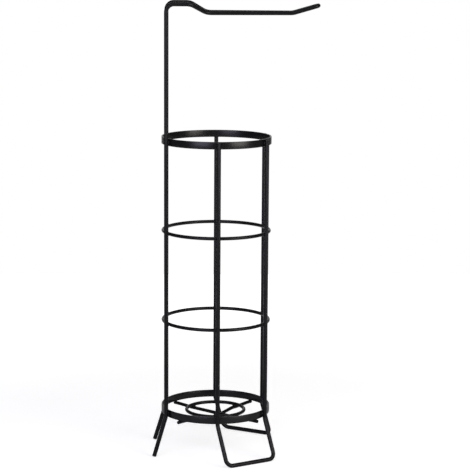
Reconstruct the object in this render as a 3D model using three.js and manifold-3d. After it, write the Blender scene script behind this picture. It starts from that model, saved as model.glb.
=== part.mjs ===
// Free-standing toilet paper holder, welded from bent steel wire and two flat steel bands.
// Six uprights stand round a tower for spare rolls. Two of them run on up as a mast, and bend over
// into the narrow double-wire arm that carries the roll in use. Nothing on it moves.
// Millimetres, +Z up. The arm points along +X, and the part mirrors across its own XZ plane.

import * as THREE from 'three';
import { mergeVertices } from 'three/addons/utils/BufferGeometryUtils.js';
import Module from 'manifold-3d';

const wasm = await Module();
wasm.setup();

// ---------------------------------------------------------------- driving sizes

// Stock, measured over its coating
const frameWire = 5.8; // uprights, legs and arm
const hoopWire = 4.7; // middle hoops and base
const bandHeight = 10;
const bandWall = 2;
const weldGap = 0.3; // left between two pieces that a weld joins

// Tower: heights are to the middle of each band, above the floor
const towerDiameter = 151; // outside of the bands and hoops
const bottomBandZ = 60;
const topBandZ = 437;
const middleHoops = ['lower_hoop', 'upper_hoop']; // evenly spaced between the bands
const halfPairAngle = 29; // from a hairpin's middle to each of its two uprights, in degrees

// Legs: heights of the knees are from the bottom band's lower edge
const kneeBend = 15; // bend radii are to the middle of the wire
const kneeDrop = 1;
const legSplay = 26; // how far out a closed foot stands from its uprights
const footBend = 9;
const uprightDrop = 1; // from the top band's upper edge down to the uprights' cut ends
const openKneeRise = 2; // of the two cut ends under the mast
const openFootLean = 17.5; // degrees from upright
const openFootTurn = 20; // degrees that each one leans away from the other

// Mast and arm, measured from the mast along the arm
const overallHeight = 625;
const mastBend = 10.5;
const shoulderLength = 32.4;
const shoulderBend = 13;
const neckLength = 22.2; // the two wires close in and drop here
const neckDrop = 12.5;
const neckBend = 16;
const armLength = 117; // level run that carries the roll
const armWidthAtNeck = 31; // between the middles of the two wires
const armWidthAtRise = 13.5;
const riseBend = 22;
const tipLength = 34.5;
const tipRise = 10;
const tipWidth = 11.5;

// Base: two crossed wires under the bottom band, and a ring on them that carries the rolls
const baseTurn = 2.5; // the cross and its ring stand turned a little from the arm's line, in degrees
const baseOverhang = 2; // past the outside of the band
const baseSink = 1.2; // from the band down to the ring
const baseBend = 20;
const baseRingDiameter = 85; // outside
const crossingFlat = 12; // level stretch of the lower wire under the upper one

// Weld beads: half sizes of the blob that fills each joint, across, along and up the upright
const bandBead = { out: 1.7, side: 3.1, up: 3.4 };
const hoopBead = { out: 1.7, side: 2.9, up: 2.9 };
const bandBeadRise = 1; // middle of the bead above the band's lower edge
const baseBead = { out: 2.7, side: 2.8, up: 1.6 };

// Fineness of the solids
const frameSides = 12;
const hoopSides = 8;
const bandSteps = 72;
const hoopSteps = 60;
const bendStep = 16; // degrees
const beadSteps = 10;
const sameSpot = 0.001; // points closer than this are one point

// ---------------------------------------------------------------- sizes that follow

const towerRadius = towerDiameter / 2;
const uprightCircle = towerRadius + weldGap + frameWire / 2;
const pairOut = uprightCircle * Math.cos(THREE.MathUtils.degToRad(halfPairAngle));
const halfPair = uprightCircle * Math.sin(THREE.MathUtils.degToRad(halfPairAngle));
const bandFloor = bottomBandZ - bandHeight / 2;
const hoopCircle = towerRadius - hoopWire / 2;
const hoopPitch = (topBandZ - bottomBandZ) / (middleHoops.length + 1);

const shoulderZ = overallHeight - frameWire / 2;
const armZ = shoulderZ - neckDrop;
const shoulderOut = pairOut - shoulderLength;
const neckOut = shoulderOut - neckLength;
const riseOut = neckOut - armLength;
const tipOut = riseOut - tipLength;

const overWireAngle = baseTurn - 45;
const underWireAngle = baseTurn + 45;
const baseWireZ = bandFloor - weldGap - hoopWire / 2;
const baseLevelZ = baseWireZ - baseSink;
const baseRingCircle = (baseRingDiameter - hoopWire) / 2;
const baseRingZ = baseLevelZ + hoopWire + weldGap;
const underWireZ = baseLevelZ - hoopWire - weldGap;

// Each hairpin is one wire with two uprights. They stand evenly round the tower, the mast at the back,
// and the middle of each faces out at its own angle.
const hairpinNames = ['mast_and_arm', 'front_leg_frame', 'rear_leg_frame'];
const hairpinAngle = {};
hairpinNames.forEach((name, i) => {
  hairpinAngle[name] = 180 + (i * 360) / hairpinNames.length;
});

// ---------------------------------------------------------------- materials

const blackCoat = { color: 0x1b1b1d, roughness: 0.45, metalness: 0.0 };
const coatedWire = new THREE.MeshStandardMaterial({ ...blackCoat, name: 'coated_wire' });
const coatedBand = new THREE.MeshStandardMaterial({ ...blackCoat, name: 'coated_band' });
const coatedWeld = new THREE.MeshStandardMaterial({ ...blackCoat, name: 'coated_weld', roughness: 0.5 });

// ---------------------------------------------------------------- bent wire

// A wire bent at its corners: straight runs joined by arcs. Its stations are the ends of the runs
// and the steps round each arc, so that an extrusion along it turns only where the wire does.
class BentWire extends THREE.Curve {
  constructor(corners) {
    super();
    this.places = [];
    this.directions = [];
    const last = corners.length - 1;
    this.addStation(corners[0].at, heading(corners[0].at, corners[1].at));
    for (let i = 1; i < last; i++) {
      this.addBend(corners[i - 1].at, corners[i].at, corners[i + 1].at, corners[i].bend);
    }
    this.addStation(corners[last].at, heading(corners[last - 1].at, corners[last].at));
  }

  addStation(place, direction) {
    const previous = this.places[this.places.length - 1];
    if (previous && previous.distanceTo(place) < sameSpot) return;
    this.places.push(place.clone());
    this.directions.push(direction.clone());
  }

  // An arc that meets both runs, and takes at most half of the shorter one.
  addBend(before, corner, after, bend) {
    const into = heading(before, corner);
    const out = heading(corner, after);
    const turn = into.angleTo(out);
    const room = Math.min(before.distanceTo(corner), corner.distanceTo(after)) / 2;
    const reach = Math.min(bend * Math.tan(turn / 2), room);
    const radius = reach / Math.tan(turn / 2);
    const start = corner.clone().addScaledVector(into, -reach);
    const inward = out.clone().addScaledVector(into, -out.dot(into)).normalize();
    const steps = Math.max(2, Math.ceil(THREE.MathUtils.radToDeg(turn) / bendStep));
    for (let i = 0; i <= steps; i++) {
      const angle = (turn * i) / steps;
      const place = start.clone()
        .addScaledVector(into, radius * Math.sin(angle))
        .addScaledVector(inward, radius * (1 - Math.cos(angle)));
      const direction = into.clone().multiplyScalar(Math.cos(angle))
        .addScaledVector(inward, Math.sin(angle));
      this.addStation(place, direction);
    }
  }

  get steps() {
    return this.places.length - 1;
  }

  getPointAt(u, target = new THREE.Vector3()) {
    return target.copy(this.places[Math.round(u * this.steps)]);
  }

  getTangentAt(u, target = new THREE.Vector3()) {
    return target.copy(this.directions[Math.round(u * this.steps)]);
  }

  nearestStation(place) {
    const distances = this.places.map((station) => station.distanceTo(place));
    return distances.indexOf(Math.min(...distances));
  }
}

function heading(from, to) {
  return to.clone().sub(from).normalize();
}

// A polygon with its flats as far apart as the wire is thick. The flat at the first angle looks that way.
function wireSection(diameter, sides, firstAngle) {
  const cornerRadius = diameter / 2 / Math.cos(Math.PI / sides);
  const corners = [];
  for (let i = 0; i < sides; i++) {
    const angle = firstAngle + ((i + 0.5) * 2 * Math.PI) / sides;
    corners.push(new THREE.Vector2(cornerRadius * Math.cos(angle), cornerRadius * Math.sin(angle)));
  }
  return corners;
}

// Extrudes the wire, turned so that near one place a flat looks one way.
function wireGeometry(path, diameter, sides, near, way) {
  const frames = path.computeFrenetFrames(path.steps);
  const station = path.nearestStation(near);
  const angle = Math.atan2(way.dot(frames.binormals[station]), way.dot(frames.normals[station]));
  const section = new THREE.Shape(wireSection(diameter, sides, angle));
  return new THREE.ExtrudeGeometry(section, { steps: path.steps, extrudePath: path });
}

// ---------------------------------------------------------------- pieces

// Every piece is a function of how much it is grown, so that weld beads can be cut clear of it.

// A place given from the tower's middle: out at an angle, sideways from there, and up.
function placeOn(angle, out, side, z) {
  const turn = THREE.MathUtils.degToRad(angle);
  return new THREE.Vector3(
    out * Math.cos(turn) - side * Math.sin(turn),
    out * Math.sin(turn) + side * Math.cos(turn),
    z,
  );
}

// Corners of one half of a hairpin, then the same ones mirrored and in reverse.
function mirroredWire(angle, halfCorners) {
  const corner = ([out, side, z, bend], sign) => ({ at: placeOn(angle, out, sign * side, z), bend });
  const first = halfCorners.map((values) => corner(values, -1));
  const second = halfCorners.map((values) => corner(values, 1)).reverse();
  return new BentWire([...first, ...second]);
}

function legFrame(angle) {
  const footZ = frameWire / 2;
  const path = mirroredWire(angle, [
    [pairOut, halfPair, topBandZ + bandHeight / 2 - uprightDrop],
    [pairOut, halfPair, bandFloor - kneeDrop, kneeBend],
    [pairOut + legSplay, halfPair, footZ, footBend],
  ]);
  const footBar = placeOn(angle, pairOut + legSplay, 0, footZ);
  const down = new THREE.Vector3(0, 0, -1);
  return (grow) => wireGeometry(path, frameWire + 2 * grow, frameSides, footBar, down);
}

function mastAndArm(angle) {
  // The cut ends are square to the wire, so that their lower corners stand on the floor.
  const lean = THREE.MathUtils.degToRad(openFootLean);
  const turn = THREE.MathUtils.degToRad(openFootTurn);
  const kneeZ = bandFloor + openKneeRise;
  const cutEndZ = (frameWire / 2 / Math.cos(Math.PI / frameSides)) * Math.sin(lean);
  const reach = (kneeZ - cutEndZ) * Math.tan(lean);
  const path = mirroredWire(angle, [
    [pairOut + reach * Math.cos(turn), halfPair + reach * Math.sin(turn), cutEndZ],
    [pairOut, halfPair, kneeZ, kneeBend],
    [pairOut, halfPair, shoulderZ, mastBend],
    [shoulderOut, halfPair, shoulderZ, shoulderBend],
    [neckOut, armWidthAtNeck / 2, armZ, neckBend],
    [riseOut, armWidthAtRise / 2, armZ, riseBend],
    [tipOut, tipWidth / 2, armZ + tipRise, tipWidth / 2],
  ]);
  const armWidth = (armWidthAtNeck + armWidthAtRise) / 2;
  const levelRun = placeOn(angle, (neckOut + riseOut) / 2, -armWidth / 2, armZ);
  const up = new THREE.Vector3(0, 0, 1);
  return (grow) => wireGeometry(path, frameWire + 2 * grow, frameSides, levelRun, up);
}

// A closed outline in (radius, height) spun round the tower's axis.
function spun(outline, steps) {
  const geometry = new THREE.LatheGeometry([...outline, outline[0]], steps);
  return geometry.rotateX(Math.PI / 2);
}

function band(z) {
  return (grow) => {
    const [inside, outside] = [towerRadius - bandWall - grow, towerRadius + grow];
    const [low, high] = [z - bandHeight / 2 - grow, z + bandHeight / 2 + grow];
    const outline = [[inside, low], [outside, low], [outside, high], [inside, high]];
    return spun(outline.map(([radius, height]) => new THREE.Vector2(radius, height)), bandSteps);
  };
}

function hoop(circle, z) {
  return (grow) => {
    const middle = new THREE.Vector2(circle, z);
    const outline = wireSection(hoopWire + 2 * grow, hoopSides, 0).map((corner) => corner.add(middle));
    return spun(outline, hoopSteps);
  };
}

// A base wire is level under the band and under the ring, and sinks a little in between.
function baseWire(angle, dip) {
  const underBand = towerRadius - bandWall - hoopWire;
  const underRing = baseRingCircle + hoopWire;
  const corners = [
    [towerRadius + baseOverhang, 0, baseWireZ],
    [underBand, 0, baseWireZ, baseBend],
    [underRing, 0, baseLevelZ, baseBend],
    ...dip,
  ];
  const corner = ([out, side, z, bend], sign) => ({ at: placeOn(angle, sign * out, side, z), bend });
  const first = corners.map((values) => corner(values, 1));
  const second = corners.map((values) => corner(values, -1)).reverse();
  const path = new BentWire([...first, ...second]);
  const end = placeOn(angle, towerRadius, 0, baseWireZ);
  const up = new THREE.Vector3(0, 0, 1);
  return (grow) => wireGeometry(path, hoopWire + 2 * grow, hoopSides, end, up);
}

const pieces = {
  mast_and_arm: { shape: mastAndArm(hairpinAngle.mast_and_arm), material: coatedWire },
  front_leg_frame: { shape: legFrame(hairpinAngle.front_leg_frame), material: coatedWire },
  rear_leg_frame: { shape: legFrame(hairpinAngle.rear_leg_frame), material: coatedWire },
  bottom_band: { shape: band(bottomBandZ), material: coatedBand },
  top_band: { shape: band(topBandZ), material: coatedBand },
  base_wire_over: { shape: baseWire(overWireAngle, []), material: coatedWire },
  base_wire_under: {
    shape: baseWire(underWireAngle, [
      [baseRingCircle - hoopWire, 0, baseLevelZ, baseBend],
      [crossingFlat / 2, 0, underWireZ, baseBend],
    ]),
    material: coatedWire,
  },
  base_ring: { shape: hoop(baseRingCircle, baseRingZ), material: coatedWire },
};
middleHoops.forEach((name, i) => {
  pieces[name] = { shape: hoop(hoopCircle, bottomBandZ + hoopPitch * (i + 1)), material: coatedWire };
});

// ---------------------------------------------------------------- weld beads

function toSolid(geometry) {
  const bare = geometry.clone();
  bare.deleteAttribute('normal');
  bare.deleteAttribute('uv');
  const merged = mergeVertices(bare, sameSpot);
  return new wasm.Manifold(new wasm.Mesh({
    numProp: 3,
    vertProperties: merged.attributes.position.array,
    triVerts: new Uint32Array(merged.index.array),
  }));
}

function toGeometry(solid) {
  const mesh = solid.getMesh();
  const geometry = new THREE.BufferGeometry();
  geometry.setAttribute('position', new THREE.BufferAttribute(mesh.vertProperties, 3));
  geometry.setIndex(new THREE.BufferAttribute(mesh.triVerts, 1));
  geometry.computeVertexNormals();
  return geometry;
}

for (const piece of Object.values(pieces)) {
  piece.cleared = toSolid(piece.shape(weldGap));
}

// A blob at a joint, cut clear of the two pieces it joins: what is left fills the corner between them.
function weldBead(angle, out, z, size, joined) {
  const blob = new THREE.SphereGeometry(1, beadSteps, beadSteps / 2 + 1).rotateX(Math.PI / 2);
  blob.scale(size.out, size.side, size.up);
  blob.translate(out, 0, z);
  blob.rotateZ(THREE.MathUtils.degToRad(angle));
  const cut = joined.reduce((solid, name) => solid.subtract(pieces[name].cleared), toSolid(blob));
  const parts = cut.decompose().sort((a, b) => b.volume() - a.volume());
  return toGeometry(parts[0]);
}

// The hairpin that each upright belongs to, and which side of it.
const uprights = [
  ['mast_front', 'mast_and_arm', 1],
  ['mast_rear', 'mast_and_arm', -1],
  ['front_inner', 'front_leg_frame', -1],
  ['front_outer', 'front_leg_frame', 1],
  ['rear_outer', 'rear_leg_frame', -1],
  ['rear_inner', 'rear_leg_frame', 1],
];

const welds = {};

const jointOut = towerRadius + weldGap / 2;
for (const [upright, hairpin, side] of uprights) {
  const angle = hairpinAngle[hairpin] + side * halfPairAngle;
  for (const [name, z] of [['bottom_band', bottomBandZ], ['top_band', topBandZ]]) {
    const beadZ = z - bandHeight / 2 + bandBeadRise;
    welds[`weld_${name}_${upright}`] = weldBead(angle, jointOut, beadZ, bandBead, [name, hairpin]);
  }
  middleHoops.forEach((name, i) => {
    const z = bottomBandZ + hoopPitch * (i + 1);
    welds[`weld_${name}_${upright}`] = weldBead(angle, jointOut, z, hoopBead, [name, hairpin]);
  });
}

const baseEnds = [
  ['front_right', 'base_wire_over', overWireAngle],
  ['rear_left', 'base_wire_over', overWireAngle + 180],
  ['rear_right', 'base_wire_under', underWireAngle],
  ['front_left', 'base_wire_under', underWireAngle + 180],
];
for (const [end, wire, angle] of baseEnds) {
  const bandJoint = [towerRadius - bandWall / 2, bandFloor - weldGap / 2];
  const ringJoint = [baseRingCircle, baseLevelZ + (hoopWire + weldGap) / 2];
  welds[`weld_bottom_band_${end}`] = weldBead(angle, ...bandJoint, baseBead, ['bottom_band', wire]);
  welds[`weld_base_ring_${end}`] = weldBead(angle, ...ringJoint, baseBead, ['base_ring', wire]);
}
const crossingZ = baseLevelZ - (hoopWire + weldGap) / 2;
welds.weld_base_crossing = weldBead(0, 0, crossingZ, baseBead, ['base_wire_over', 'base_wire_under']);

// ---------------------------------------------------------------- assembly

function addMesh(group, name, geometry, material) {
  const mesh = new THREE.Mesh(geometry, material);
  mesh.name = name;
  group.add(mesh);
}

const holder = new THREE.Group();
for (const [name, piece] of Object.entries(pieces)) {
  addMesh(holder, name, piece.shape(0), piece.material);
}
for (const [name, geometry] of Object.entries(welds)) {
  addMesh(holder, name, geometry, coatedWeld);
}

// The origin is on the floor, in the middle of the part's own box.
const middle = new THREE.Box3().setFromObject(holder).getCenter(new THREE.Vector3());
holder.position.set(-middle.x, -middle.y, 0);

export default holder;
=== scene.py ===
import math
import bpy
from mathutils import Matrix, Vector


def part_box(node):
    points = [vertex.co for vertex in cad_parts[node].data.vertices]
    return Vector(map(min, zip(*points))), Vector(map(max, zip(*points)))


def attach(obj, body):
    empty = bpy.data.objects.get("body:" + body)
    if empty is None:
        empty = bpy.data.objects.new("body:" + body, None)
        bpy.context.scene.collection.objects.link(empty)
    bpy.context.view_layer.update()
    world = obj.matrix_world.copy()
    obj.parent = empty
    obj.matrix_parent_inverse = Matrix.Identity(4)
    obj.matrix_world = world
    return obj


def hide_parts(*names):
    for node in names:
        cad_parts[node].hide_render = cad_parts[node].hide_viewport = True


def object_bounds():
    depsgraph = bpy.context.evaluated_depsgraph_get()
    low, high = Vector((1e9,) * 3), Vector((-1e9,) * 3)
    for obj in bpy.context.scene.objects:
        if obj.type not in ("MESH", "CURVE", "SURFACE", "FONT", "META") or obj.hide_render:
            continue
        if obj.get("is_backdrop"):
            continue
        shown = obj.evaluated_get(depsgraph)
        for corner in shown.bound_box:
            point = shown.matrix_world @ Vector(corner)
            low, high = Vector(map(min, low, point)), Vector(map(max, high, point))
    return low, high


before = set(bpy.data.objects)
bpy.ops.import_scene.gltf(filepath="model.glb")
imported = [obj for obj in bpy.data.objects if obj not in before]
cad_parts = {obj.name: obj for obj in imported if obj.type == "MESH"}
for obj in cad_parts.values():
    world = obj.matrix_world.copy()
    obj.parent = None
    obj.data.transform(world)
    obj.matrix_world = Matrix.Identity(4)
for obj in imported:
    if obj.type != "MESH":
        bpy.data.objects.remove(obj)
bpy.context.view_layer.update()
mm = 0.001
print("frame loaded:", len(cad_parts), "CAD nodes")

# Places are read off the frame. The sizes that follow them are the same as in the CAD.
bandLow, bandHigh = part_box("bottom_band")
topLow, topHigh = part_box("top_band")
hoopLow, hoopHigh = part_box("lower_hoop")
ringLow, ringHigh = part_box("base_ring")
towerX = (bandLow.x + bandHigh.x) / 2
towerRadius = (bandHigh.y - bandLow.y) / 2
hoopWire = hoopHigh.z - hoopLow.z

standHeight = 625 * mm   # to the top of the shoulder
frameWire = 5.8 * mm     # thickness over the coating
bandWall = 2 * mm
seat = 0.3 * mm          # between two welded pieces

# Angles in degrees round the tower: of the middle of each pair of uprights, and from there to the two.
hairpinAngle = {"mast_and_arm": 180, "front_leg_frame": 300, "rear_leg_frame": 60}
halfPairAngle = 29
uprightCircle = towerRadius + seat + frameWire / 2
pairOut = uprightCircle * math.cos(math.radians(halfPairAngle))
pairSide = uprightCircle * math.sin(math.radians(halfPairAngle))


# a place out from the tower's axis at an angle in degrees, sideways from there, and up
def placeOn(angle, out, side, z):
    turn = math.radians(angle)
    x = towerX + out * math.cos(turn) - side * math.sin(turn)
    y = out * math.sin(turn) + side * math.cos(turn)
    return Vector((x, y, z))


def toLinear(hexColour):
    parts = [int(hexColour[i:i + 2], 16) / 255 for i in (1, 3, 5)]
    linear = [c / 12.92 if c <= 0.04045 else ((c + 0.055) / 1.055) ** 2.4 for c in parts]
    return (*linear, 1)


# adds one node, sets its sockets and properties, and links its inputs
def addNode(tree, kind, settings=None, links=None, **properties):
    made = tree.nodes.new(kind)
    for key, value in properties.items():
        setattr(made, key, value)
    for socket, value in (settings or {}).items():
        made.inputs[socket].default_value = value
    for socket, source in (links or {}).items():
        tree.links.new(source, made.inputs[socket])
    return made


def newMaterial(name):
    material = bpy.data.materials.new(name)
    material.use_nodes = True
    material.node_tree.nodes.clear()
    return material


# Powder coat: polyester powder sprayed on bare steel and baked at 200 C. It flows out into a satin film
# with a faint orange peel, so highlights are soft and slightly broken. Patches where it lies thicker or
# thinner differ a little in colour and gloss.
powderCoat = {
    "deep": "#0b0b0d",            # film at full thickness
    "worn": "#121214",            # where dust and handling have dulled it
    "wornBetween": (0.35, 0.7),   # values of the clouds between which one turns into the other
    "ior": 1.5,                   # polyester
    "gloss": 0.16,                # matting agents in the powder dull the shine of the resin
    "roughness": (0.26, 0.38),
    "cloudSize": 35 * mm,         # patches of thicker and thinner film
    "peelSize": 3 * mm,           # orange peel, a few times the real 1 mm so that it shows
    "peelDepth": 0.008 * mm,
    "grainSize": 0.8 * mm,        # powder grain, about ten times its real size so that it shows
    "cloudShare": 0.5,            # of the clouds in the roughness, where the grain counts in full
    "dullBetween": (0.4, 1.1),    # about the least and the most that these two come to
    "grainShare": 0.12,           # of the grain in the relief, where the peel counts in full
}


def powderCoatMaterial(name, user):
    material = newMaterial(name)
    tree = material.node_tree
    spot = addNode(tree, "ShaderNodeTexCoord").outputs["Object"]
    clouds = addNode(tree, "ShaderNodeTexNoise",
                     {"Scale": 1 / user["cloudSize"], "Detail": 3, "Roughness": 0.6}, {"Vector": spot})
    peel = addNode(tree, "ShaderNodeTexNoise",
                   {"Scale": 1 / user["peelSize"], "Detail": 1, "Roughness": 0.4}, {"Vector": spot})
    grain = addNode(tree, "ShaderNodeTexNoise",
                    {"Scale": 1 / user["grainSize"], "Detail": 2, "Roughness": 0.6}, {"Vector": spot})
    film = addNode(tree, "ShaderNodeValToRGB", None, {"Fac": clouds.outputs["Fac"]})
    for stop, position, colour in zip(film.color_ramp.elements, user["wornBetween"], ("deep", "worn")):
        stop.position = position
        stop.color = toLinear(user[colour])
    dull = addNode(tree, "ShaderNodeMath", {1: user["cloudShare"]},
                   {0: clouds.outputs["Fac"], 2: grain.outputs["Fac"]}, operation="MULTIPLY_ADD")
    least, most = user["dullBetween"]
    smooth, matt = user["roughness"]
    rough = addNode(tree, "ShaderNodeMapRange",
                    {"From Min": least, "From Max": most, "To Min": smooth, "To Max": matt},
                    {"Value": dull.outputs[0]})
    relief = addNode(tree, "ShaderNodeMath", {1: user["grainShare"]},
                     {0: grain.outputs["Fac"], 2: peel.outputs["Fac"]}, operation="MULTIPLY_ADD")
    bump = addNode(tree, "ShaderNodeBump", {"Strength": 1, "Distance": user["peelDepth"]},
                   {"Height": relief.outputs[0]})
    shader = addNode(tree, "ShaderNodeBsdfPrincipled",
                     {"Metallic": 0, "IOR": user["ior"], "Specular IOR Level": user["gloss"]},
                     {"Base Color": film.outputs["Color"], "Roughness": rough.outputs["Result"],
                      "Normal": bump.outputs["Normal"]})
    addNode(tree, "ShaderNodeOutputMaterial", None, {"Surface": shader.outputs["BSDF"]})
    return material


# Strip: the film lies smoother on its flat faces than round a wire, so it's glossier there. Its two colours
# are the wire's coat made darker as painted shade, so that the strip looks darker between its highlights.
stripCoatPaintedDarker = {
    **powderCoat,
    # painted shade: the same black coat as the wire's, darkened so the strip reads darker between
    # highlights
    "deep": "#08080a",
    "worn": "#0f0f11",
    "gloss": 0.3,
    "roughness": (0.24, 0.36),
}

# Weld: the same powder over a rippled bead, where it lies rough and holds more dust.
beadCoat = {
    **powderCoat,
    "worn": "#18181a",
    "roughness": (0.36, 0.5),
    "peelDepth": 0.03 * mm,
}

wireCoat = powderCoatMaterial("black satin powder-coated steel wire", powderCoat)
bandCoat = powderCoatMaterial("black satin powder-coated steel strip", stripCoatPaintedDarker)
weldCoat = powderCoatMaterial("black satin powder-coated weld", beadCoat)
print("materials made")

mergeDistance = 0.001 * mm    # points nearer to each other than this are one


# in edit mode, selects just the faces that pass the test
def selectFaces(test):
    bpy.ops.object.mode_set(mode="EDIT")
    bpy.ops.mesh.select_all(action="DESELECT")
    bpy.ops.object.mode_set(mode="OBJECT")
    for face in bpy.context.object.data.polygons:
        face.select = test(face)
    bpy.ops.object.mode_set(mode="EDIT")
    bpy.ops.mesh.select_mode(type="FACE")


# leaves the piece in object mode, named, coated, at the origin and riding on its body
def finishPiece(name, material, node, smoothAngle=40):
    if bpy.context.object.mode != "EDIT":
        bpy.ops.object.mode_set(mode="EDIT")
    bpy.ops.mesh.select_all(action="SELECT")
    bpy.ops.mesh.remove_doubles(threshold=mergeDistance)
    bpy.ops.mesh.normals_make_consistent(inside=False)
    bpy.ops.object.mode_set(mode="OBJECT")
    bpy.ops.object.transform_apply(location=True, rotation=True, scale=True)
    bpy.ops.object.shade_smooth_by_angle(angle=math.radians(smoothAngle))
    piece = bpy.context.object
    piece.name = name
    piece.data.name = name
    piece.data.materials.clear()
    piece.data.materials.append(material)
    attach(piece, "root")
    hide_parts(node)


# the straight runs and the bends of a wire, from its corners and the bend radius at each
def runsAndBends(corners):
    steps = []
    last = corners[0][0]
    for (before, _), (corner, radius), (after, _) in zip(corners, corners[1:], corners[2:]):
        into = (corner - before).normalized()
        out = (after - corner).normalized()
        turn = into.angle(out)
        room = min((corner - before).length, (after - corner).length) / 2
        reach = min(radius * math.tan(turn / 2), room)
        start = corner - into * reach
        axis = into.cross(out).normalized()
        centre = start + axis.cross(into) * (reach / math.tan(turn / 2))
        if (start - last).length > mergeDistance:
            steps.append({"run": start - last})
        steps.append({"turn": turn, "centre": centre, "axis": axis})
        last = corner + out * reach
    steps.append({"run": corners[-1][0] - last})
    return steps


wireShape = {
    "leastSteps": 3,         # in a bend, however slight
    "endSteps": 3,           # in the rounding of a cut end
}


# A wire is a disc extruded along each run and spun round each bend, with its cut ends rounded over.
def bentWire(node, corners, thickness, user):
    start = corners[0][0]
    way = (corners[1][0] - start).normalized()
    bpy.ops.object.select_all(action="DESELECT")
    bpy.ops.mesh.primitive_circle_add(
        vertices=user["sides"], radius=thickness / 2, fill_type="NGON",
        location=start, rotation=way.to_track_quat("Z", "Y").to_euler())
    bpy.ops.object.mode_set(mode="EDIT")
    bpy.ops.mesh.select_mode(type="FACE")
    bpy.ops.mesh.select_all(action="SELECT")
    for step in runsAndBends(corners):
        if "run" in step:
            bpy.ops.mesh.extrude_region_move(
                TRANSFORM_OT_translate={"value": step["run"], "orient_type": "GLOBAL"})
        else:
            steps = max(wireShape["leastSteps"], math.ceil(math.degrees(step["turn"]) / user["bendStep"]))
            bpy.ops.mesh.spin(steps=steps, angle=-step["turn"], center=step["centre"], axis=step["axis"])
    selectFaces(lambda face: len(face.vertices) == user["sides"])
    bpy.ops.mesh.bevel(offset=user["endRound"], segments=wireShape["endSteps"], affect="EDGES")
    finishPiece(node + "_wire", wireCoat, node)


# A hairpin's corners, from those of one half, each as how far out, sideways and up, and its bend.
def mirrored(angle, half):
    first = [(placeOn(angle, out, -side, z), bend) for out, side, z, bend in half]
    second = [(placeOn(angle, out, side, z), bend) for out, side, z, bend in half]
    return first + second[::-1]


legShape = {
    "topDrop": 1 * mm,       # of the cut ends, below the top band's upper edge
    "kneeDrop": 1 * mm,      # below the bottom band's lower edge
    "kneeBend": 15 * mm,
    "splay": 26 * mm,
    "footBend": 9 * mm,
    "sides": 28,
    "bendStep": 6,           # degrees
    "endRound": 0.5 * mm,
}


def legFrame(node, user):
    corners = mirrored(hairpinAngle[node], [
        (pairOut, pairSide, topHigh.z - user["topDrop"], 0),
        (pairOut, pairSide, bandLow.z - user["kneeDrop"], user["kneeBend"]),
        (pairOut + user["splay"], pairSide, frameWire / 2, user["footBend"]),
    ])
    bentWire(node, corners, frameWire, user)


legFrame("front_leg_frame", legShape)
legFrame("rear_leg_frame", legShape)
print("leg frames made")

mastShape = {
    "kneeRise": 2 * mm,      # above the bottom band's lower edge
    "kneeBend": 15 * mm,
    "footLean": math.radians(17.5),
    "footTurn": math.radians(20),    # sideways, from straight out
    "footClear": 0.1 * mm,   # keeps the edge of the cut end off the floor
    "mastBend": 10.5 * mm,
    "shoulderLength": 32.4 * mm,
    "shoulderBend": 13 * mm,
    "neckLength": 22.2 * mm,
    "neckDrop": 12.5 * mm,
    "neckBend": 16 * mm,
    "armLength": 117 * mm,
    "widthAtNeck": 31 * mm,  # between the middles of the two wires, as the other two widths are
    "widthAtRise": 13.5 * mm,
    "riseBend": 22 * mm,
    "tipLength": 34.5 * mm,
    "tipRise": 10 * mm,
    "tipWidth": 11.5 * mm,
    "sides": 28,
    "bendStep": 5,           # degrees
    "endRound": 0.5 * mm,
}


def mastAndArm(node, user):
    kneeZ = bandLow.z + user["kneeRise"]
    footZ = frameWire / 2 * math.sin(user["footLean"]) + user["footClear"]
    reach = (kneeZ - footZ) * math.tan(user["footLean"])
    footOut = pairOut + reach * math.cos(user["footTurn"])
    footSide = pairSide + reach * math.sin(user["footTurn"])
    shoulderZ = standHeight - frameWire / 2
    shoulderOut = pairOut - user["shoulderLength"]
    neckOut = shoulderOut - user["neckLength"]
    armZ = shoulderZ - user["neckDrop"]
    riseOut = neckOut - user["armLength"]
    tipOut = riseOut - user["tipLength"]
    tipRadius = user["tipWidth"] / 2
    corners = mirrored(hairpinAngle[node], [
        (footOut, footSide, footZ, 0),
        (pairOut, pairSide, kneeZ, user["kneeBend"]),
        (pairOut, pairSide, shoulderZ, user["mastBend"]),
        (shoulderOut, pairSide, shoulderZ, user["shoulderBend"]),
        (neckOut, user["widthAtNeck"] / 2, armZ, user["neckBend"]),
        (riseOut, user["widthAtRise"] / 2, armZ, user["riseBend"]),
        (tipOut, tipRadius, armZ + user["tipRise"], tipRadius),
    ])
    bentWire(node, corners, frameWire, user)


mastAndArm("mast_and_arm", mastShape)
print("mast and arm made")

baseShape = {
    "turn": 2.5,             # degrees that the cross stands turned from the arm's line
    "overhang": 2 * mm,      # past the outside of the band
    "bend": 20 * mm,
    "crossingFlat": 12 * mm,
    "sides": 24,
    "bendStep": 3,           # degrees
    "endRound": 0.4 * mm,
}
overAngle = baseShape["turn"] - 45
underAngle = baseShape["turn"] + 45
ringCircle = (ringHigh.y - ringLow.y) / 2 - hoopWire / 2
baseEndZ = bandLow.z - seat - hoopWire / 2
baseLevelZ = ringLow.z - seat - hoopWire / 2


# A base wire is level under the band and under the ring, and sinks a little in between. The dip is the
# corners where it passes below the other one.
def baseWire(node, angle, dip, user):
    half = [
        (towerRadius + user["overhang"], baseEndZ, 0),
        (towerRadius - bandWall - hoopWire, baseEndZ, user["bend"]),
        (ringCircle + hoopWire, baseLevelZ, user["bend"]),
        *dip,
    ]
    first = [(placeOn(angle, out, 0, z), bend) for out, z, bend in half]
    second = [(placeOn(angle, -out, 0, z), bend) for out, z, bend in half]
    bentWire(node, first + second[::-1], hoopWire, user)


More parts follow.
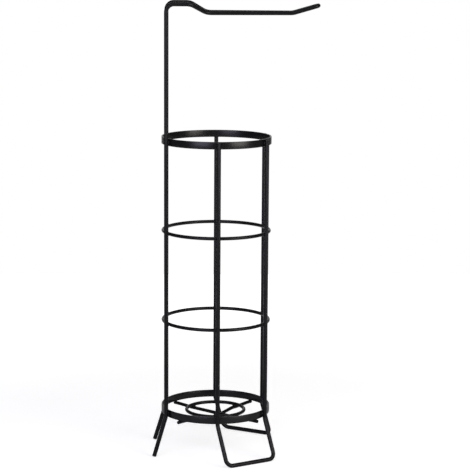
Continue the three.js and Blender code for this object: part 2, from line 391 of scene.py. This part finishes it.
baseWire("base_wire_over", overAngle, [], baseShape)
baseWire("base_wire_under", underAngle, [
    (ringCircle - hoopWire, baseLevelZ, baseShape["bend"]),
    (baseShape["crossingFlat"] / 2, baseLevelZ - hoopWire - seat, baseShape["bend"]),
], baseShape)
print("base wires made")

hoopShape = {"sides": 24, "steps": 144}
bandShape = {"edgeRound": 0.45 * mm, "edgeSteps": 3, "steps": 180, "smoothAngle": 25}


# a hoop is a circle of edges spun right round the tower's axis
def hoop(node, user):
    low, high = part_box(node)
    thickness = high.z - low.z
    circle = (high.y - low.y) / 2 - thickness / 2
    middleZ = (low.z + high.z) / 2
    bpy.ops.object.select_all(action="DESELECT")
    bpy.ops.mesh.primitive_circle_add(
        vertices=user["sides"], radius=thickness / 2, fill_type="NOTHING",
        location=(towerX + circle, 0, middleZ), rotation=(math.pi / 2, 0, 0))
    bpy.ops.object.mode_set(mode="EDIT")
    bpy.ops.mesh.select_all(action="SELECT")
    bpy.ops.mesh.spin(steps=user["steps"], angle=2 * math.pi, center=(towerX, 0, middleZ), axis=(0, 0, 1))
    finishPiece(node + "_wire", wireCoat, node)


# a band is a rectangle with rounded corners, spun the same way
def band(node, user):
    low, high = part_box(node)
    bpy.ops.object.select_all(action="DESELECT")
    bpy.ops.mesh.primitive_plane_add(
        size=1, location=(high.x - bandWall / 2, 0, (low.z + high.z) / 2), rotation=(math.pi / 2, 0, 0))
    bpy.ops.object.mode_set(mode="EDIT")
    bpy.ops.mesh.select_all(action="SELECT")
    bpy.ops.transform.resize(value=(bandWall, 1, high.z - low.z), orient_type="GLOBAL")
    bpy.ops.mesh.bevel(offset=user["edgeRound"], segments=user["edgeSteps"], affect="VERTICES")
    bpy.ops.mesh.delete(type="ONLY_FACE")
    bpy.ops.mesh.select_all(action="SELECT")
    bpy.ops.mesh.spin(steps=user["steps"], angle=2 * math.pi, center=(towerX, 0, 0), axis=(0, 0, 1))
    finishPiece(node + "_strip", bandCoat, node, user["smoothAngle"])


for node in ("lower_hoop", "upper_hoop", "base_ring"):
    hoop(node, hoopShape)
for node in ("bottom_band", "top_band"):
    band(node, bandShape)
print("hoops and bands made")

# A weld is a small fillet that the coating has flowed over. Along its own z it reaches from a lower
# piece that runs along x to an upper wire that runs along y, and it flares out to meet each of them.
weldShape = {
    "fillet": 0.95 * mm,     # hollow radius in the corner between the two pieces
    "sink": 0.45 * mm,       # how far each end runs into its piece
    "sides": 24,
    "steps": 6,
    "smoothAngle": 60,
    "bandLength": 3.2 * mm,  # half its length up a band's flat face
    "bandRise": 4.6 * mm,    # its middle above the band's lower edge
    "edgeLength": 0.9 * mm,  # half its length across a band's narrow lower edge
}
frameRadius = frameWire / 2
hoopRadius = hoopWire / 2


# how high over a flat face the fillet meets a wire that lies on that face
def meetHeight(radius, fillet):
    return radius + seat - radius * (radius + seat - fillet) / (radius + fillet)


# half the fillet's width at a height over that face
def halfWidth(height, radius, fillet):
    widest = math.sqrt((radius + fillet) ** 2 - (radius + seat - fillet) ** 2)
    level = min(max(height, 0), meetHeight(radius, fillet))
    return widest - math.sqrt(fillet ** 2 - (fillet - level) ** 2)


# Made at the origin, its middle at z = 0. Without a lower radius it stands on a flat face, and half its
# length there is given.
def weldModel(upperRadius, lowerRadius, length, user):
    fillet = user["fillet"]
    top = meetHeight(upperRadius, fillet) - seat / 2
    bottom = seat / 2 if lowerRadius is None else meetHeight(lowerRadius, fillet) - seat / 2
    rings = []
    for i in range(user["steps"] + 1):
        z = -bottom + (top + bottom) * i / user["steps"]
        x = halfWidth(z + seat / 2, upperRadius, fillet)
        y = length if lowerRadius is None else halfWidth(seat / 2 - z, lowerRadius, fillet)
        rings.append((x, y, z))
    lowX, lowY, _ = rings[0]
    highX, highY, _ = rings[-1]
    rings = [(lowX, lowY, -bottom - user["sink"]), *rings, (highX, highY, top + user["sink"])]
    x, y, z = rings[0]
    bpy.ops.object.select_all(action="DESELECT")
    bpy.ops.mesh.primitive_circle_add(
        vertices=user["sides"], radius=1, fill_type="NGON", location=(0, 0, 0))
    bpy.ops.object.mode_set(mode="EDIT")
    bpy.ops.mesh.select_all(action="SELECT")
    bpy.ops.transform.resize(value=(x, y, 1), center_override=(0, 0, 0))
    bpy.ops.transform.translate(value=(0, 0, z))
    for nextX, nextY, nextZ in rings[1:]:
        bpy.ops.mesh.extrude_region_move(TRANSFORM_OT_translate={"value": (0, 0, nextZ - z)})
        bpy.ops.transform.resize(value=(nextX / x, nextY / y, 1), center_override=(0, 0, nextZ))
        x, y, z = nextX, nextY, nextZ
    bpy.ops.object.mode_set(mode="OBJECT")
    return bpy.context.object


# a copy of the model with its own mesh, its y along the upper wire and its z towards that wire
def placeWeld(model, node, place, along, towards):
    bpy.ops.object.select_all(action="DESELECT")
    model.select_set(True)
    bpy.context.view_layer.objects.active = model
    bpy.ops.object.duplicate()
    turned = Matrix((along.cross(towards), along, towards)).transposed().to_4x4()
    bpy.context.object.matrix_world = Matrix.Translation(place) @ turned
    finishPiece(node + "_fillet", weldCoat, node, weldShape["smoothAngle"])


up = Vector((0, 0, 1))
uprights = {
    "mast_front": hairpinAngle["mast_and_arm"] + halfPairAngle,
    "mast_rear": hairpinAngle["mast_and_arm"] - halfPairAngle,
    "front_inner": hairpinAngle["front_leg_frame"] - halfPairAngle,
    "front_outer": hairpinAngle["front_leg_frame"] + halfPairAngle,
    "rear_outer": hairpinAngle["rear_leg_frame"] - halfPairAngle,
    "rear_inner": hairpinAngle["rear_leg_frame"] + halfPairAngle,
}
baseEnds = {
    "front_right": overAngle,
    "rear_left": overAngle + 180,
    "rear_right": underAngle,
    "front_left": underAngle + 180,
}


# the way out from the tower's axis at an angle
def outAt(angle):
    return placeOn(angle, 1, 0, 0) - placeOn(angle, 0, 0, 0)


bandWeld = weldModel(frameRadius, None, weldShape["bandLength"], weldShape)
hoopWeld = weldModel(frameRadius, hoopRadius, None, weldShape)
edgeWeld = weldModel(hoopRadius, None, weldShape["edgeLength"], weldShape)
baseWeld = weldModel(hoopRadius, hoopRadius, None, weldShape)

for upright, angle in uprights.items():
    out = outAt(angle)
    jointOut = towerRadius + seat / 2
    for node, low in (("bottom_band", bandLow), ("top_band", topLow)):
        place = placeOn(angle, jointOut, 0, low.z + weldShape["bandRise"])
        placeWeld(bandWeld, f"weld_{node}_{upright}", place, up, out)
    for node in ("lower_hoop", "upper_hoop"):
        low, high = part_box(node)
        place = placeOn(angle, jointOut, 0, (low.z + high.z) / 2)
        placeWeld(hoopWeld, f"weld_{node}_{upright}", place, up, out)

for end, angle in baseEnds.items():
    out = outAt(angle)
    place = placeOn(angle, towerRadius - bandWall / 2, 0, bandLow.z - seat / 2)
    placeWeld(edgeWeld, f"weld_bottom_band_{end}", place, out, -up)
    place = placeOn(angle, ringCircle, 0, ringLow.z - seat / 2)
    placeWeld(baseWeld, f"weld_base_ring_{end}", place, out.cross(up), up)

crossing = placeOn(0, 0, 0, baseLevelZ - (hoopWire + seat) / 2)
placeWeld(baseWeld, "weld_base_crossing", crossing, outAt(overAngle), up)
for model in (bandWeld, hoopWeld, edgeWeld, baseWeld):
    bpy.data.objects.remove(model)
print("welds made")

# Lengths of the studio are in metres.
studio = {
    "daylight": 0.2,         # what the room adds to the light of the softboxes
    "dimSide": 0.12,         # the room towards the camera, as reflections show it
    "sweepFrom": 0.88,       # and where the white sweep behind the holder starts and is full,
    "sweepTo": 0.97,         # as the part of a direction that points away from the camera
    "paper": "#dcdcdc",
    "paperHalf": 1.3,        # from the middle of the paper to its edge
    "glowNear": 0.6,         # light that evens the paper out to white, next to the holder
    "glowFar": 1,            # and away from it
    "nearUntil": 0.35,       # how far from the middle the first reaches
    "farFrom": 1.1,          # and where the second starts
    "litFrom": 0.1,          # how far behind the holder reflections begin to show the glow
    "litTo": 0.9,            # and show it in full
}
whiteLight = (1, 1, 1, 1)


# 1 in what reflections and clear pieces show, 0 elsewhere
def reflectedRay(tree, path):
    return addNode(tree, "ShaderNodeMath", None,
                   {0: path.outputs["Is Glossy Ray"], 1: path.outputs["Is Transmission Ray"]},
                   operation="MAXIMUM").outputs[0]


# The camera sees white all round. Reflections show the white sweep behind the holder and the dim room
# in front of it.
def whiteRoom(user):
    world = bpy.data.worlds.new("white room")
    bpy.context.scene.world = world
    world.use_nodes = True
    tree = world.node_tree
    tree.nodes.clear()
    path = addNode(tree, "ShaderNodeLightPath")
    way = addNode(tree, "ShaderNodeTexCoord").outputs["Generated"]
    back = addNode(tree, "ShaderNodeSeparateXYZ", None, {0: way}).outputs["Y"]
    sweep = addNode(tree, "ShaderNodeMapRange",
                    {"From Min": user["sweepFrom"], "From Max": user["sweepTo"], "To Min": user["dimSide"]},
                    {"Value": back}, interpolation_type="SMOOTHSTEP")
    daylight = addNode(tree, "ShaderNodeBackground", {"Color": whiteLight, "Strength": user["daylight"]})
    mirrored = addNode(tree, "ShaderNodeBackground", {"Color": whiteLight},
                       {"Strength": sweep.outputs["Result"]})
    plain = addNode(tree, "ShaderNodeBackground", {"Color": whiteLight, "Strength": 1})
    room = addNode(tree, "ShaderNodeMixShader", None,
                   {0: reflectedRay(tree, path), 1: daylight.outputs[0], 2: mirrored.outputs[0]})
    shown = addNode(tree, "ShaderNodeMixShader", None,
                    {0: path.outputs["Is Camera Ray"], 1: room.outputs[0], 2: plain.outputs[0]})
    addNode(tree, "ShaderNodeOutputWorld", None, {"Surface": shown.outputs[0]})


# White paper, lit evenly: a glow brings it up to white, less of it near the holder, so that its shadow
# stays.
def paperFloor(user):
    bpy.ops.object.select_all(action="DESELECT")
    bpy.ops.mesh.primitive_plane_add(size=2 * user["paperHalf"], location=(0, 0, 0))
    floor = bpy.context.object
    floor.name = "paper_floor"
    material = newMaterial("white paper sweep")
    tree = material.node_tree
    spot = addNode(tree, "ShaderNodeTexCoord").outputs["Object"]
    away = addNode(tree, "ShaderNodeVectorMath", None, {0: spot}, operation="LENGTH")
    glow = addNode(tree, "ShaderNodeMapRange",
                   {"From Min": user["nearUntil"], "From Max": user["farFrom"],
                    "To Min": user["glowNear"], "To Max": user["glowFar"]},
                   {"Value": away.outputs["Value"]}, interpolation_type="SMOOTHSTEP")
    behind = addNode(tree, "ShaderNodeSeparateXYZ", None, {0: spot}).outputs["Y"]
    lit = addNode(tree, "ShaderNodeMapRange",
                  {"From Min": user["litFrom"], "From Max": user["litTo"]},
                  {"Value": behind}, interpolation_type="SMOOTHSTEP")
    path = addNode(tree, "ShaderNodeLightPath")
    mirrored = addNode(tree, "ShaderNodeMath", None,
                       {0: reflectedRay(tree, path), 1: lit.outputs["Result"]}, operation="MULTIPLY")
    seen = addNode(tree, "ShaderNodeMath", None,
                   {0: path.outputs["Is Camera Ray"], 1: mirrored.outputs[0]}, operation="MAXIMUM")
    strength = addNode(tree, "ShaderNodeMath", None,
                       {0: glow.outputs["Result"], 1: seen.outputs[0]}, operation="MULTIPLY")
    paper = addNode(tree, "ShaderNodeBsdfDiffuse", {"Color": toLinear(user["paper"])})
    light = addNode(tree, "ShaderNodeEmission", {"Color": whiteLight}, {"Strength": strength.outputs[0]})
    both = addNode(tree, "ShaderNodeAddShader", None, {0: paper.outputs[0], 1: light.outputs[0]})
    addNode(tree, "ShaderNodeOutputMaterial", None, {"Surface": both.outputs[0]})
    floor.data.materials.append(material)
    floor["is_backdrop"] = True


# Tall softboxes either side of the camera give the bands their two soft highlights. The one over the
# camera lights the faces of the arm and the hoops, and the one overhead their upper sides. They aren't
# seen themselves. Each stands at its turn, in degrees round the tower from the camera's side, at its
# distance from the tower's axis and at its level above the floor, and points at the axis at aimHeight.
softboxes = {
    "right": {"power": 25, "tint": "#fffaf4", "width": 1, "height": 1.4,
              "turn": 47, "distance": 1.8, "level": 0.8},
    "left": {"power": 22, "tint": "#e6e4ff", "width": 1.2, "height": 1.4,
             "turn": -32, "distance": 2, "level": 0.8},
    "front": {"power": 7, "tint": "#ffffff", "width": 0.9, "height": 0.5,
              "turn": -5, "distance": 2.2, "level": 1.5},
    "top": {"power": 4, "tint": "#ffffff", "width": 1.2, "height": 1.2,
            "turn": 180, "distance": 0.1, "level": 2.4},
}
aimHeight = 0.3


def softbox(name, user):
    light = bpy.data.lights.new(name + " softbox", "AREA")
    light.energy = user["power"]
    light.color = toLinear(user["tint"])[:3]
    light.shape = "RECTANGLE"
    light.size = user["width"]
    light.size_y = user["height"]
    holder = bpy.data.objects.new(name + " softbox", light)
    bpy.context.scene.collection.objects.link(holder)
    holder.location = placeOn(user["turn"] - 90, user["distance"], 0, user["level"])
    aim = Vector((towerX, 0, aimHeight)) - holder.location
    holder.rotation_euler = aim.to_track_quat("-Z", "Y").to_euler()
    holder.visible_camera = False


whiteRoom(studio)
paperFloor(studio)
for name, user in softboxes.items():
    softbox(name, user)

# Angles of the camera are in degrees.
cameraView = {
    "distance": 2.475,       # level, from the tower's axis
    "height": 0.722,
    "azimuth": 1.29,         # round the tower from square on, to the left
    "pitch": 9.58,           # down
    "yaw": 0.604,            # to the right, past the tower's axis
    "roll": 0.364,
    "lens": 139.12,          # mm, as is the sensor
    "sensor": 36,
}


def aimCamera(user):
    camera = bpy.data.cameras.new("camera")
    camera.lens = user["lens"]
    camera.sensor_width = user["sensor"]
    holder = bpy.data.objects.new("camera", camera)
    bpy.context.scene.collection.objects.link(holder)
    bpy.context.scene.camera = holder
    turn = math.radians(user["azimuth"])
    holder.location = (
        towerX - user["distance"] * math.sin(turn),
        -user["distance"] * math.cos(turn),
        user["height"],
    )
    heading = Matrix.Rotation(-turn - math.radians(user["yaw"]), 4, "Z")
    tilt = Matrix.Rotation(math.radians(90 - user["pitch"]), 4, "X")
    roll = Matrix.Rotation(math.radians(user["roll"]), 4, "Z")
    holder.rotation_euler = (heading @ tilt @ roll).to_euler()


aimCamera(cameraView)
bpy.context.scene.view_settings.view_transform = "Standard"
print("studio and camera set")

low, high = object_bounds()
